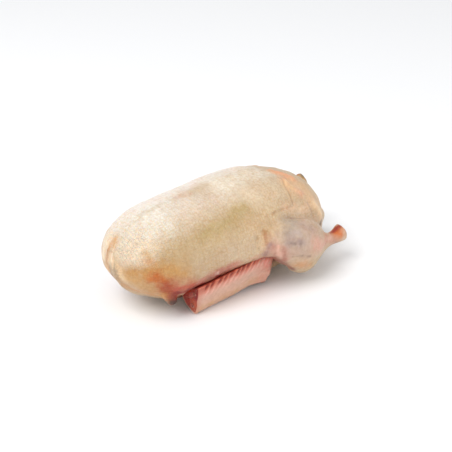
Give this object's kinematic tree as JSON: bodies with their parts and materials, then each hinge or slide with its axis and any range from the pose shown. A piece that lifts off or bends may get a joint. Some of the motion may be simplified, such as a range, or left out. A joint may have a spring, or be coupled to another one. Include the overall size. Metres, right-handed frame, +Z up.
{
  "type": "whole raw goose",
  "caption": "Whole raw plucked goose lying breast up, with drumsticks, folded trimmed wings and a tail stump.",
  "frame": {"origin": "centre of the bounding box, on the surface the bird lies on", "axes": "+X from the neck end towards the tail, +Z up out of the breast, -Y towards the bird's right side"},
  "size_m": [0.4164, 0.224, 0.1583],
  "materials": {
    "skin": "moist, pale yellow and pink"
  },
  "bodies": {
    "root": {"goose": "skin"}
  },
  "joints": []
}
